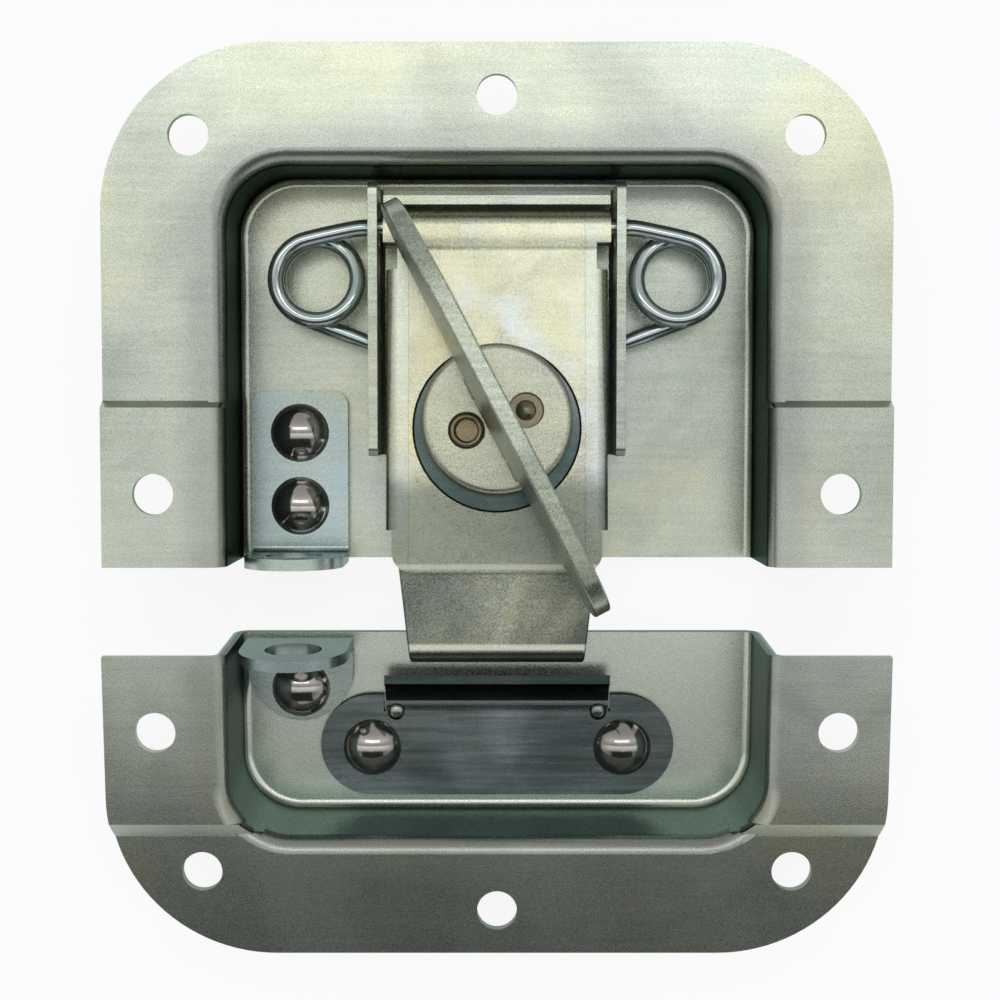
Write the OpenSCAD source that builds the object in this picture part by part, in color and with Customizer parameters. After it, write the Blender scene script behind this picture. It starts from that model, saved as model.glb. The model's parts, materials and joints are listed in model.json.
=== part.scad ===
/* [Dishes] */
// width of both dishes across the case
dish_w = 102.2; // [98:0.1:112]
// height of the latch dish from seam to top edge
latch_h = 67.5; // [66:0.1:76]
// height of the catch dish from seam to bottom edge
catch_h = 40.6; // [40:0.1:46]
// outer corner radius of both dishes
corner_r = 21.8; // [16:0.1:24]
// sheet thickness of the dishes
dish_t = 1.2; // [1:0.05:1.4]
// depth of the recess from flange back to floor back
recess_d = 14; // [13.6:0.1:16]
// inside width of the recess, wall to wall
recess_w = 70.4; // [70:0.1:73]
// height by which the seam part of each flange is raised
joggle_rise = 1.6; // [1:0.1:2]
// radius of the mounting holes
screw_hole_r = 2.65; // [2:0.05:3]

/* [Hinge and spring] */
// clear width between the two hinge ears
ear_gap = 31.5; // [31.2:0.1:32.5]
// sheet thickness of the hinge bracket
bracket_t = 1.25; // [1:0.05:1.5]
// spring wire diameter
wire_d = 2.3; // [2:0.05:2.35]
// mean radius of the spring coils
coil_r = 5.5; // [4.6:0.1:5.6]

/* [Carrier and hook] */
// sheet thickness of the carrier plate
carrier_t = 1.2; // [1:0.05:1.3]
// overall width of the carrier over its side flanges
carrier_w = 29.5; // [28.5:0.1:30]
// radius of the hub hole in the carrier
hub_hole_r = 11.2; // [10.8:0.05:11.3]
// radius at which the crank pin turns
crank_throw = 3; // [2.6:0.1:3.2]
// thickness of the hook plate
hook_t = 1.3; // [1:0.05:1.4]
// outward lean of the carrier at rest, degrees
rest_lean = 4.2; // [3.5:0.1:5]

/* [Wing] */
// overall length of the butterfly wing
wing_l = 57.6; // [54:0.1:58.5]
// height of the wing above its pin
wing_h = 17.2; // [15:0.1:17.4]
// thickness of the wing
wing_t = 2.2; // [1.8:0.05:2.3]

/* [Lugs, keeper and rivets] */
// radius of the padlock holes
lock_hole_r = 3.8; // [3:0.1:3.9]
// radius of the rivet heads
rivet_head_r = 4; // [3.4:0.1:4.1]
// lift of the keeper lip over the keeper plate
lip_lift = 3.4; // [3:0.1:3.6]
// opening of the lid at rest, degrees
lid_ajar = 4.5; // [3.5:0.1:7]

/* [Hidden] */
$fn = 72;
far = 200;
floor_top = dish_t - recess_d;
wall_x = recess_w / 2;
// recess corner radius at the wall, and the two bend radii on the air side
wall_r = 8;
bend_hi = dish_t + 1;
bend_lo = 1;
latch_wall_y = 52;
catch_wall_y = 24.9;
latch_joggle_y = 20.9;
catch_joggle_y = 23.2;
// the raised seam part of the flange steps up at this angle
joggle_angle = 36;
joggle_slope = tan(joggle_angle);
slant_t = dish_t / cos(joggle_angle);
joggle_lap = 0.08;
joggle_in = (joggle_rise + dish_t - slant_t) / 2 / joggle_slope - joggle_lap;
joggle_out = (joggle_rise - dish_t + slant_t) / 2 / joggle_slope;
// in the step the bend is eased to a small shoulder
bend_ease = 0.65;
// mounting holes sit at these distances in from the edges of each dish
seam_hole_in = 6.7;
latch_seam_hole_y = 9.5;
latch_corner_hole_in = [11.4, 11.8];
latch_top_hole_in = 6.7;
catch_seam_hole_y = 10;
catch_corner_hole_in = [12.1, 11.3];
catch_end_hole_in = 5.9;
seam_hole_x = dish_w / 2 - seam_hole_in;
latch_corner_hole = [dish_w / 2 - latch_corner_hole_in[0], latch_h - latch_corner_hole_in[1]];
catch_corner_hole = [dish_w / 2 - catch_corner_hole_in[0], catch_h - catch_corner_hole_in[1]];
latch_end_hole = [0, latch_h - latch_top_hole_in];
catch_end_hole = [0, catch_h - catch_end_hole_in];

// hinge bracket
ear_x = ear_gap / 2;
ear_low_y = 14.3;
ear_high_y = 50.4;
ear_rise = 10.2;
ear_corner_r = 1.2;
cross_wall_y = 47.55;
cross_wall_rise = 8.3;
cross_wall_x = ear_x - 0.7;
bracket_bend = 0.6;
axle_y = 44.7;
axle_z = floor_top + 6.07;
slot_travel = 2;
leg_y = 29.4;
leg_z = axle_z - wire_d - 0.07;
hole_slack = 0.35;

// carrier, in its seated pose; every height hangs from the axle
wire_r = wire_d / 2;
curl_clear = 0.07;
curl_bore_r = wire_r + curl_clear;
curl_r = curl_bore_r + carrier_t;
curl_x = ear_x - 0.65;
carrier_top = axle_z + curl_r;
carrier_back = carrier_top - carrier_t;
side_x = carrier_w / 2;
side_high_y = 38.9;
side_low_y = 4.3;
side_drop = 5.2;
apron_x = side_x - 0.85;
apron_low_y = -1.3;
apron_corner_r = 2.6;
notch_low_y = side_high_y;
notch_high_y = 42.4;
notch_x = 13.2;
hub_y = 17.8;
hub_clear = 0.08;
boss_r = hub_hole_r - hub_clear;
boss_drop = 0.6;
crank_flange_r = side_x - carrier_t - 0.95;
plate_gap = 0.05;
crank_flange_t = 1;
crank_top = carrier_back - plate_gap;
crank_back = crank_top - crank_flange_t;
boss_top = carrier_top - boss_drop;
crank_pin_r = 1.5;
crank_phase = 208;
hook_top = crank_back - 0.1;
hook_back = hook_top - hook_t;
hook_x = side_x - carrier_t - 0.2;
hook_end_x = hook_x - 1.75;
hook_end_y = -13.4;
hook_taper_y = 1.2;
hook_head_y = 28;
hook_bend_r = 0.7;
hook_tip_drop = 3;
slot_low = crank_pin_r + 0.3;
slot_high = crank_pin_r + 1.1;
slot_x = crank_throw + crank_pin_r + 0.3;
guide_top = hook_back - 0.15;
guide_t = 1;
guide_low_y = 6;
guide_high_y = 30;
disc_r = 9.98;
disc_shift = 1.1;
disc_top = boss_top + 2.4;
disc_round = 0.9;
pocket_depth = 0.6;
tubular_at = [-3.95, hub_y - 0.45];
solid_at = [3.8, hub_y + 2.2];
tubular_r = 2.3;
solid_r = 2.2;

// wing, set along wing_angle with its pin over the disc
wing_angle = 117.5;
wing_lean = 3.5;
wing_shift = 1.6;
wing_pin_z = disc_top + 1.5;
knuckle_r = 1.5;
knuckle_in = 4.6;
knuckle_out = 7.5;
wing_pin_r = 0.6;
pin_clear = 0.05;
wing_neck = 4.3;
wing_barrel_r = wing_t / 2 + 0.06;
wing_tip_lap = 0.03;
wing_relief = 1.9;

// lugs, keeper and rivets
lug_x = -27.1;
latch_lug_t = 1.5;
latch_lug_r = 6.6;
latch_lug_y = -0.5;
latch_lug_high_y = 23;
latch_rivet_ys = [17.3, 7.25];
latch_lug_rise = 8.6;
catch_lug_t = 1.45;
catch_lug_r = 7.2;
catch_lug_rise = 9.2;
catch_lug_y = 0.4;
catch_lug_far_y = 12.2;
catch_lug_rivet_y = 7.6;
lug_bend = 0.7;
keeper_t = 1.2;
keeper_r = 7.15;
keeper_y = 15.75;
plate_clear = 0.15;
// the keeper's round end stops just short of the lug's round foot
keeper_end_x = -lug_x - sqrt(pow(catch_lug_r + keeper_r + plate_clear, 2)
                             - pow(keeper_y - catch_lug_far_y + catch_lug_r, 2));
keeper_half = keeper_end_x + keeper_r;
keeper_rivet_x = keeper_end_x;
keeper_rivet_y = keeper_y + 0.35;
lip_bend_y = 11;
lip_bend_r = 5;
lip_x = 15.4;
lip_angle = acos(1 - lip_lift / lip_bend_r);
lip_relief_x = 14;
lip_relief_r = 1.2;
shank_r = 2.4;
shank_slack = 0.03;
tail_r = 3.2;
tail_h = 1;
head_h = 2.3;

// the lid turns about this line behind the dishes
lid_y = -18.2;
lid_z = -139.5;
seam_gap = 0.3;

// ---- shared shapes ----

module quarter_disc(r) {
    intersection() {
        circle(r = r);
        square(r + 1);
    }
}

module quarter_ring(inner_r, outer_r) {
    difference() {
        quarter_disc(outer_r);
        circle(r = inner_r);
    }
}

// half disc and strip: a tab outline with a round end
module round_tab(half_w, rise) {
    circle(r = half_w);
    translate([-half_w, -rise]) square([2 * half_w, rise]);
}

// rectangle with its two far corners rounded
module round_top(half_w, low, high, r) {
    translate([-half_w, low]) square([2 * half_w, high - low - r]);
    translate([-half_w + r, low]) square([2 * (half_w - r), high - low]);
    for (side = [0, 1]) mirror([side, 0]) translate([half_w - r, high - r]) quarter_disc(r);
}

// extrude a profile drawn in (y, z) along x, centred
module across(width) {
    rotate([90, 0, 90]) translate([0, 0, -width / 2]) linear_extrude(width) children();
}

module bore(x, y, r, low = -far / 2, high = far / 2) {
    translate([x, y, low]) cylinder(r = r, h = high - low);
}

// ---- pressed dish, seam at y = 0 and running towards +y ----

module lower_section(high) {
    translate([-bend_lo, floor_top + bend_lo]) mirror([0, 1]) quarter_ring(bend_lo, bend_lo + dish_t);
    translate([0, floor_top + bend_lo]) square([dish_t, high - floor_top - bend_lo]);
}

module upper_section(rise, low) {
    centre_z = rise + dish_t - bend_hi;
    translate([0, low]) square([dish_t, centre_z - low]);
    translate([bend_hi, centre_z]) mirror([1, 0]) quarter_ring(bend_hi - dish_t, bend_hi);
}

// sweep a wall section round both sides, both corners and the end of the recess
module recess_sweep(wall_y) {
    centre_x = wall_x - wall_r;
    centre_y = wall_y - wall_r;
    for (side = [0, 1]) mirror([side, 0, 0]) {
        translate([wall_x, centre_y, 0]) rotate([90, 0, 0]) linear_extrude(centre_y) children();
        translate([centre_x, centre_y, 0]) rotate_extrude(angle = 90) translate([wall_r, 0]) children();
    }
    translate([-centre_x, wall_y, 0]) rotate([90, 0, 90]) linear_extrude(2 * centre_x) children();
}

module recess_outline(grow, wall_y) {
    translate([0, -1]) round_top(wall_x + grow, 0, wall_y + grow + 1, wall_r + grow);
}

module flange_ring(height, wall_y, rise) {
    translate([0, 0, rise]) linear_extrude(dish_t) difference() {
        round_top(dish_w / 2, 0, height, corner_r);
        recess_outline(bend_hi, wall_y);
    }
}

module dish_skin(height, wall_y, rise) {
    flange_ring(height, wall_y, rise);
    recess_sweep(wall_y) upper_section(rise, -dish_t - bend_hi);
}

module flange_band(height, wall_y, grow, from, to) {
    intersection() {
        difference() {
            round_top(dish_w / 2, 0, height, corner_r);
            recess_outline(grow, wall_y);
        }
        translate([-far / 2, from]) square([far, to - from]);
    }
}

// a flat block lying along the joggle's slope, between two depths below its middle plane
module slope_block(joggle_y, low, high) {
    translate([0, joggle_y, (joggle_rise + dish_t) / 2]) rotate([-joggle_angle, 0, 0])
        translate([-far / 2, -far / 2, low]) cube([far, far, high - low]);
}

module joggle_step(height, wall_y, joggle_y) {
    tall = joggle_rise + 3 * dish_t;
    intersection() {
        slope_block(joggle_y, -dish_t / 2, dish_t / 2);
        union() {
            translate([0, 0, -dish_t]) linear_extrude(tall)
                flange_band(height, wall_y, bend_ease, joggle_y - joggle_in, joggle_y + joggle_in);
            linear_extrude(joggle_rise + dish_t)
                flange_band(height, wall_y, bend_hi, joggle_y - joggle_out, joggle_y + joggle_out);
        }
    }
    intersection() {
        slope_block(joggle_y, -far, 0);
        translate([0, 0, -dish_t]) linear_extrude(tall) intersection() {
            difference() {
                recess_outline(dish_t, wall_y);
                recess_outline(0, wall_y);
            }
            translate([-far / 2, joggle_y - joggle_in]) square([far, 2 * joggle_in]);
        }
    }
}

module dish(height, wall_y, joggle_y, end_hole, corner_hole, seam_hole_y, rivets) {
    difference() {
        union() {
            translate([0, 0, floor_top - dish_t]) linear_extrude(dish_t) intersection() {
                recess_outline(-bend_lo, wall_y);
                translate([-far / 2, 0]) square(far);
            }
            recess_sweep(wall_y) lower_section(-dish_t);
            intersection() {
                dish_skin(height, wall_y, 0);
                translate([-far / 2, joggle_y + joggle_in, -far / 2]) cube(far);
            }
            intersection() {
                dish_skin(height, wall_y, joggle_rise);
                translate([-far / 2, joggle_y - joggle_in - far, -far / 2]) cube(far);
            }
            joggle_step(height, wall_y, joggle_y);
        }
        bore(end_hole[0], end_hole[1], screw_hole_r);
        for (side = [0, 1]) mirror([side, 0, 0]) {
            bore(corner_hole[0], corner_hole[1], screw_hole_r);
            bore(seam_hole_x, seam_hole_y, screw_hole_r);
        }
        for (at = rivets) bore(at[0], at[1], shank_r + shank_slack);
    }
}

// domed rivet standing on a plate of the given thickness on the recess floor
module rivet(x, y, plate_t) {
    seat = floor_top + plate_t;
    cap_r = (rivet_head_r * rivet_head_r + head_h * head_h) / (2 * head_h);
    translate([x, y, 0]) {
        intersection() {
            translate([0, 0, seat + head_h - cap_r]) sphere(r = cap_r);
            translate([0, 0, seat]) cylinder(r = rivet_head_r, h = head_h);
        }
        translate([0, 0, floor_top - dish_t]) cylinder(r = shank_r, h = plate_t + dish_t);
        translate([0, 0, floor_top - dish_t - tail_h]) cylinder(r = tail_r, h = tail_h);
    }
}

// ---- latch half ----

module latch_dish() {
    color([0.72, 0.76, 0.72])
        dish(latch_h, latch_wall_y, latch_joggle_y,
             latch_end_hole, latch_corner_hole, latch_seam_hole_y, latch_rivets);
}

module bracket_profile() {
    outer = bracket_bend + bracket_t;
    for (side = [0, 1]) mirror([side, 0]) {
        translate([-0.5, 0]) square([ear_x - bracket_bend + 0.5, bracket_t]);
        translate([ear_x, outer]) square([bracket_t, ear_rise - outer]);
        translate([ear_x - bracket_bend, outer]) mirror([0, 1]) quarter_ring(bracket_bend, outer);
    }
}

module hinge_bracket() {
    ear_span = ear_high_y - ear_low_y;
    color([0.7, 0.75, 0.73]) difference() {
        union() {
            translate([0, ear_high_y, floor_top]) rotate([90, 0, 0]) linear_extrude(ear_span) bracket_profile();
            translate([-cross_wall_x, cross_wall_y, floor_top])
                cube([2 * cross_wall_x, bracket_t, cross_wall_rise]);
        }
        // the free upper corners of both ears are rounded
        for (end = [0, 1]) translate([0, end * (ear_low_y + ear_high_y), 0]) mirror([0, end, 0])
            translate([0, ear_high_y, floor_top + ear_rise]) across(far) difference() {
                translate([-ear_corner_r, -ear_corner_r]) square(ear_corner_r + 1);
                translate([-ear_corner_r, -ear_corner_r]) circle(r = ear_corner_r);
            }
        across(far) {
            translate([axle_y, axle_z]) circle(r = wire_r + pin_clear);
            translate([axle_y - slot_travel, axle_z]) circle(r = wire_r + pin_clear);
            translate([axle_y - slot_travel, axle_z - wire_r - pin_clear])
                square([slot_travel, wire_d + 2 * pin_clear]);
            translate([leg_y, leg_z]) circle(r = wire_r + hole_slack);
        }
    }
}

// points along one side of the spring, from the end of the axle to the foot of the lower leg
coil_out = 8.45;
coil_y = 37.9;
coil_at = [-ear_x - coil_out, coil_y];
axle_end_x = ear_x + bracket_t + 0.9;
leg_end = [-ear_x + 0.3, leg_y - 0.5];
up_from = [-axle_end_x - 0.8, axle_y];
up_gap = up_from - coil_at;
up_turn = atan2(up_gap[1], up_gap[0]) + acos(coil_r / norm(up_gap));
down_gap = leg_end - coil_at;
down_turn = 360 + atan2(down_gap[1], down_gap[0]) - acos(coil_r / norm(down_gap)) + 360;
coil_steps = 34;
coil_turn = (down_turn - up_turn) / coil_steps;

function drop_share(a) = a < 300 ? 0 : a > 440 ? 1 : (1 - cos((a - 300) / 140 * 180)) / 2;
function coil_point(a) = [coil_at[0] + coil_r * cos(a), coil_at[1] + coil_r * sin(a),
                          axle_z + (leg_z - axle_z) * drop_share(a)];

spring_path = concat(
    [[-axle_end_x, axle_y, axle_z], [up_from[0], axle_y, axle_z]],
    [for (i = [0 : coil_steps]) coil_point(up_turn + i * coil_turn)],
    [[leg_end[0], leg_end[1], leg_z]]);

function unit(v) = v / norm(v);
function path_way(p, i) = i == 0 ? unit(p[1] - p[0])
    : i == len(p) - 1 ? unit(p[i] - p[i - 1])
    : unit(unit(p[i] - p[i - 1]) + unit(p[i + 1] - p[i]));

wire_sides = 10;
function wire_ring(p, i) = let (way = path_way(p, i), side = unit(cross(way, [0, 0, 1])),
                                rise = cross(side, way))
    [for (k = [0 : wire_sides - 1]) p[i] + wire_r * (side * cos(k * 360 / wire_sides)
                                                     + rise * sin(k * 360 / wire_sides))];

module swept_wire(path) {
    last = len(path) - 1;
    n = wire_sides;
    points = [for (i = [0 : last]) each wire_ring(path, i)];
    skin = [for (i = [0 : last - 1], k = [0 : n - 1], half = [0, 1])
        half == 0 ? [i * n + k, i * n + (k + 1) % n, (i + 1) * n + k]
                  : [i * n + (k + 1) % n, (i + 1) * n + (k + 1) % n, (i + 1) * n + k]];
    start = [for (k = [1 : n - 2]) [0, k + 1, k]];
    finish = [for (k = [1 : n - 2]) [last * n, last * n + k, last * n + k + 1]];
    polyhedron(points, concat(skin, start, finish));
}

module spring() {
    color([0.62, 0.68, 0.72]) union() {
        translate([-axle_end_x, axle_y, axle_z]) rotate([0, 90, 0]) cylinder(r = wire_r, h = 2 * axle_end_x);
        for (side = [0, 1]) mirror([side, 0, 0]) swept_wire(spring_path);
    }
}

// stands the carrier group in its rest lean; everything inside is drawn seated
module leaning() {
    translate([0, axle_y, axle_z]) rotate([-rest_lean, 0, 0]) translate([0, -axle_y, -axle_z]) children();
}

module carrier_outline() {
    translate([-curl_x, notch_high_y]) square([2 * curl_x, axle_y - notch_high_y]);
    translate([-notch_x, notch_low_y - 0.5]) square([2 * notch_x, notch_high_y - notch_low_y + 1]);
    translate([-side_x, side_low_y]) square([2 * side_x, side_high_y - side_low_y]);
    mirror([0, 1]) round_top(apron_x, -side_low_y - 1, -apron_low_y, apron_corner_r);
}

// a side flange: the plate turned down through a rounded edge
module side_profile() {
    outer = bracket_bend + carrier_t;
    translate([side_x - outer, -outer]) quarter_ring(bracket_bend, outer);
    translate([side_x - carrier_t, -side_drop]) square([carrier_t, side_drop - outer]);
}

module carrier_plate() {
    outer = bracket_bend + carrier_t;
    color([0.74, 0.76, 0.7]) leaning() difference() {
        union() {
            difference() {
                translate([0, 0, carrier_back]) linear_extrude(carrier_t) carrier_outline();
                // room for the rounded edges
                for (side = [0, 1]) mirror([side, 0, 0])
                    translate([side_x - outer, side_low_y, carrier_back - 1])
                        cube([outer + 1, side_high_y - side_low_y, carrier_t + 2]);
            }
            for (side = [0, 1]) mirror([side, 0, 0])
                translate([0, side_high_y, carrier_top]) rotate([90, 0, 0])
                    linear_extrude(side_high_y - side_low_y) side_profile();
            translate([-curl_x, axle_y, axle_z]) rotate([0, 90, 0]) cylinder(r = curl_r, h = 2 * curl_x);
        }
        translate([-far / 2, axle_y, axle_z]) rotate([0, 90, 0]) cylinder(r = curl_bore_r, h = far);
        bore(0, hub_y, hub_hole_r);
    }
}

module slide_guide() {
    guide_x = side_x - carrier_t;
    color([0.66, 0.7, 0.66]) leaning()
        translate([-guide_x, guide_low_y, guide_top - guide_t])
            cube([2 * guide_x, guide_high_y - guide_low_y, guide_t]);
}

module crank_plate() {
    color([0.55, 0.7, 0.68]) leaning() difference() {
        translate([0, hub_y, crank_back]) {
            cylinder(r = crank_flange_r, h = crank_flange_t);
            cylinder(r = boss_r, h = boss_top - crank_back);
        }
        bore(crank_pin_at[0], crank_pin_at[1], crank_pin_r, -far / 2, crank_back + pin_seat);
    }
}

pin_seat = 0.9;
crank_pin_at = [crank_throw * cos(crank_phase), hub_y + crank_throw * sin(crank_phase)];

module crank_pin() {
    low = hook_back + 0.05;
    color([0.7, 0.7, 0.66]) leaning()
        translate([crank_pin_at[0], crank_pin_at[1], low])
            cylinder(r = crank_pin_r, h = crank_back + pin_seat - low);
}

module wing_line() {
    translate([0, hub_y, 0]) rotate([0, 0, wing_angle]) children();
}

module hub_disc() {
    centre_y = hub_y + disc_shift;
    color([0.76, 0.74, 0.64]) leaning() difference() {
        union() {
            translate([0, centre_y, 0]) rotate_extrude() {
                translate([0, boss_top]) square([disc_r, disc_top - boss_top - disc_round]);
                translate([0, boss_top]) square([disc_r - disc_round, disc_top - boss_top]);
                translate([disc_r - disc_round, disc_top - disc_round]) circle(r = disc_round);
            }
            wing_line() for (side = [0, 1]) mirror([side, 0, 0])
                translate([knuckle_in, 0, wing_pin_z]) rotate([0, 90, 0])
                    cylinder(r = knuckle_r, h = knuckle_out - knuckle_in);
            wing_line() for (side = [0, 1]) mirror([side, 0, 0])
                translate([knuckle_in, -knuckle_r, disc_top - 1])
                    cube([knuckle_out - knuckle_in, 2 * knuckle_r, wing_pin_z - disc_top + 1]);
        }
        wing_line() translate([-far / 2, 0, wing_pin_z]) rotate([0, 90, 0]) cylinder(r = wing_pin_r, h = far);
        bore(tubular_at[0], tubular_at[1], tubular_r + shank_slack, disc_top - pocket_depth, far);
        bore(solid_at[0], solid_at[1], solid_r + shank_slack, disc_top - pocket_depth, far);
    }
}

module hub_rivet_tubular() {
    rim = 0.45;
    height = pocket_depth + 0.05;
    color([0.6, 0.52, 0.38]) leaning()
        translate([tubular_at[0], tubular_at[1], disc_top - pocket_depth]) rotate_extrude() {
            square([tubular_r, height - rim]);
            translate([tubular_r - 2 * rim, height - rim - 0.1]) square([rim, 0.1]);
            translate([tubular_r - rim, height - rim]) intersection() {
                circle(r = rim);
                translate([-rim, 0]) square(2 * rim);
            }
        }
}

module hub_rivet_solid() {
    dome_r = 1.5;
    height = pocket_depth + 0.1;
    ball_r = (dome_r * dome_r + height * height) / (2 * height);
    color([0.6, 0.54, 0.42]) leaning()
        translate([solid_at[0], solid_at[1], disc_top - pocket_depth]) {
            cylinder(r = solid_r, h = 0.15);
            intersection() {
                translate([0, 0, height - ball_r]) sphere(r = ball_r);
                cylinder(r = dome_r, h = height);
            }
        }
}

module wing_pin() {
    color([0.68, 0.7, 0.68]) leaning() wing_line()
        translate([-knuckle_out, 0, wing_pin_z]) rotate([0, 90, 0]) cylinder(r = wing_pin_r, h = 2 * knuckle_out);
}

// tangent point on a circle from an outside point, on the left (1) or right (-1)
function tangent_at(p, centre, r, side) =
    let (gap = p - centre, turn = atan2(gap[1], gap[0]) + side * acos(r / norm(gap)))
    centre + r * [cos(turn), sin(turn)];

wing_flat = wing_l / 4;
wing_tip_r = 5.6;
wing_tip_drop = 7.6;
wing_tip_at = [wing_l / 2 - wing_tip_r, wing_h - wing_tip_drop];
wing_root = [knuckle_out + 0.6, wing_relief];

module wing_lobe() {
    upper = tangent_at([wing_flat, wing_h], wing_tip_at, wing_tip_r - wing_tip_lap, -1);
    lower = tangent_at(wing_root, wing_tip_at, wing_tip_r - wing_tip_lap, 1);
    translate(wing_tip_at) circle(r = wing_tip_r);
    polygon([[0, wing_relief], wing_root, lower, wing_tip_at, upper, [wing_flat, wing_h], [0, wing_h]]);
}

module wing_handle() {
    color([0.72, 0.78, 0.74]) leaning() wing_line() translate([0, 0, wing_pin_z])
        rotate([wing_lean, 0, 0]) difference() {
            union() {
                rotate([90, 0, 0]) translate([0, 0, -wing_t / 2]) linear_extrude(wing_t) {
                    translate([wing_shift, 0]) wing_lobe();
                    translate([wing_shift, 0]) mirror([1, 0]) wing_lobe();
                    translate([-wing_neck, 0]) square([2 * wing_neck, wing_relief + 1]);
                }
                translate([-wing_neck, 0, 0]) rotate([0, 90, 0]) cylinder(r = wing_barrel_r, h = 2 * wing_neck);
            }
            translate([-far / 2, 0, 0]) rotate([0, 90, 0]) cylinder(r = wing_pin_r + pin_clear, h = far);
        }
}

module hook_outline() {
    polygon([[-hook_x, hook_head_y], [-hook_x, hook_taper_y], [-hook_end_x, hook_end_y],
             [hook_end_x, hook_end_y], [hook_x, hook_taper_y], [hook_x, hook_head_y]]);
}

module hook_profile() {
    outer = hook_bend_r + hook_t;
    tip = hook_top - hook_tip_drop;
    translate([hook_end_y + outer, hook_back]) square([hook_head_y - hook_end_y - outer, hook_t]);
    translate([hook_end_y + outer, hook_top - outer]) mirror([1, 0]) quarter_ring(hook_bend_r, outer);
    translate([hook_end_y, tip + hook_t / 2]) square([hook_t, hook_top - outer - tip - hook_t / 2]);
    translate([hook_end_y + hook_t / 2, tip + hook_t / 2]) circle(r = hook_t / 2);
}

module hook_plate() {
    color([0.6, 0.62, 0.58]) leaning() difference() {
        intersection() {
            across(far) hook_profile();
            translate([0, 0, -far / 2]) linear_extrude(far) hook_outline();
        }
        translate([-slot_x, crank_pin_at[1] - slot_low, -far / 2]) cube([2 * slot_x, slot_low + slot_high, far]);
    }
}

// ---- lugs and keeper, drawn with the seam at y = 0 ----

// an upright tab with a padlock hole; children give the outline of its foot on the floor
module lug(sheet, half_w, face_y, hole_rise) {
    outer = lug_bend + sheet;
    hole_z = floor_top + hole_rise;
    difference() {
        union() {
            translate([lug_x, face_y + sheet, hole_z]) rotate([90, 0, 0])
                linear_extrude(sheet) round_tab(half_w, hole_rise - outer);
            translate([lug_x, face_y + outer, floor_top + outer]) across(2 * half_w)
                rotate(180) quarter_ring(lug_bend, outer);
            translate([0, 0, floor_top]) linear_extrude(sheet) intersection() {
                translate([lug_x, 0]) children();
                translate([-far / 2, face_y + outer]) square(far);
            }
        }
        translate([lug_x, far / 2, hole_z]) rotate([90, 0, 0]) cylinder(r = lock_hole_r, h = far);
    }
}

latch_rivets = [[lug_x, latch_rivet_ys[0]], [lug_x, latch_rivet_ys[1]]];
catch_rivets = [[lug_x, catch_lug_rivet_y], [keeper_rivet_x, keeper_rivet_y], [-keeper_rivet_x, keeper_rivet_y]];

module latch_lug() {
    color([0.66, 0.74, 0.78]) difference() {
        lug(latch_lug_t, latch_lug_r, latch_lug_y, latch_lug_rise)
            round_top(latch_lug_r, 0, latch_lug_high_y, 2);
        for (at = latch_rivets) bore(at[0], at[1], shank_r + shank_slack, floor_top - 1, floor_top + latch_lug_t + 1);
    }
}

module latch_lug_rivet_upper() {
    color([0.8, 0.82, 0.84]) rivet(latch_rivets[0][0], latch_rivets[0][1], latch_lug_t);
}

module latch_lug_rivet_lower() {
    color([0.8, 0.82, 0.84]) rivet(latch_rivets[1][0], latch_rivets[1][1], latch_lug_t);
}

// turns the catch half over to the far side of the seam and opens the lid a little
module ajar() {
    translate([0, lid_y, lid_z]) rotate([lid_ajar, 0, 0]) translate([0, -lid_y - seam_gap, -lid_z])
        mirror([0, 1, 0]) children();
}

module catch_dish() {
    color([0.72, 0.76, 0.72]) ajar()
        dish(catch_h, catch_wall_y, catch_joggle_y,
             catch_end_hole, catch_corner_hole, catch_seam_hole_y, catch_rivets);
}

module catch_lug() {
    color([0.66, 0.74, 0.78]) ajar() difference() {
        lug(catch_lug_t, catch_lug_r, catch_lug_y, catch_lug_rise) {
            translate([0, catch_lug_far_y - catch_lug_r]) round_tab(catch_lug_r, catch_lug_far_y);
        }
        bore(catch_rivets[0][0], catch_rivets[0][1], shank_r + shank_slack, floor_top - 1, floor_top + catch_lug_t + 1);
    }
}

module catch_lug_rivet() {
    color([0.8, 0.82, 0.84]) ajar() rivet(catch_rivets[0][0], catch_rivets[0][1], catch_lug_t);
}

module keeper_outline() {
    translate([-keeper_half + keeper_r, keeper_y]) circle(r = keeper_r);
    translate([keeper_half - keeper_r, keeper_y]) circle(r = keeper_r);
    translate([-keeper_half + keeper_r, keeper_y - keeper_r])
        square([2 * (keeper_half - keeper_r), 2 * keeper_r]);
}

module keeper_plate() {
    reach = 2 * (lip_bend_r + keeper_t);
    lip_centre_z = floor_top + keeper_t + lip_bend_r;
    color([0.4, 0.46, 0.5]) ajar() difference() {
        union() {
            translate([0, 0, floor_top]) linear_extrude(keeper_t) difference() {
                keeper_outline();
                translate([-lip_x - 0.3, 0]) square([2 * lip_x + 0.6, lip_bend_y]);
            }
            translate([0, lip_bend_y, lip_centre_z]) across(2 * lip_x) intersection() {
                difference() {
                    circle(r = lip_bend_r + keeper_t);
                    circle(r = lip_bend_r);
                }
                polygon([[0, 0], [0, -reach], [-reach * sin(lip_angle), -reach * cos(lip_angle)]]);
            }
        }
        for (side = [-1, 1]) {
            bore(side * lip_relief_x, lip_bend_y, lip_relief_r);
            bore(side * keeper_rivet_x, keeper_rivet_y, shank_r + shank_slack);
        }
    }
}

module keeper_rivet_left() {
    color([0.8, 0.82, 0.84]) ajar() rivet(-keeper_rivet_x, keeper_rivet_y, keeper_t);
}

module keeper_rivet_right() {
    color([0.8, 0.82, 0.84]) ajar() rivet(keeper_rivet_x, keeper_rivet_y, keeper_t);
}

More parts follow.
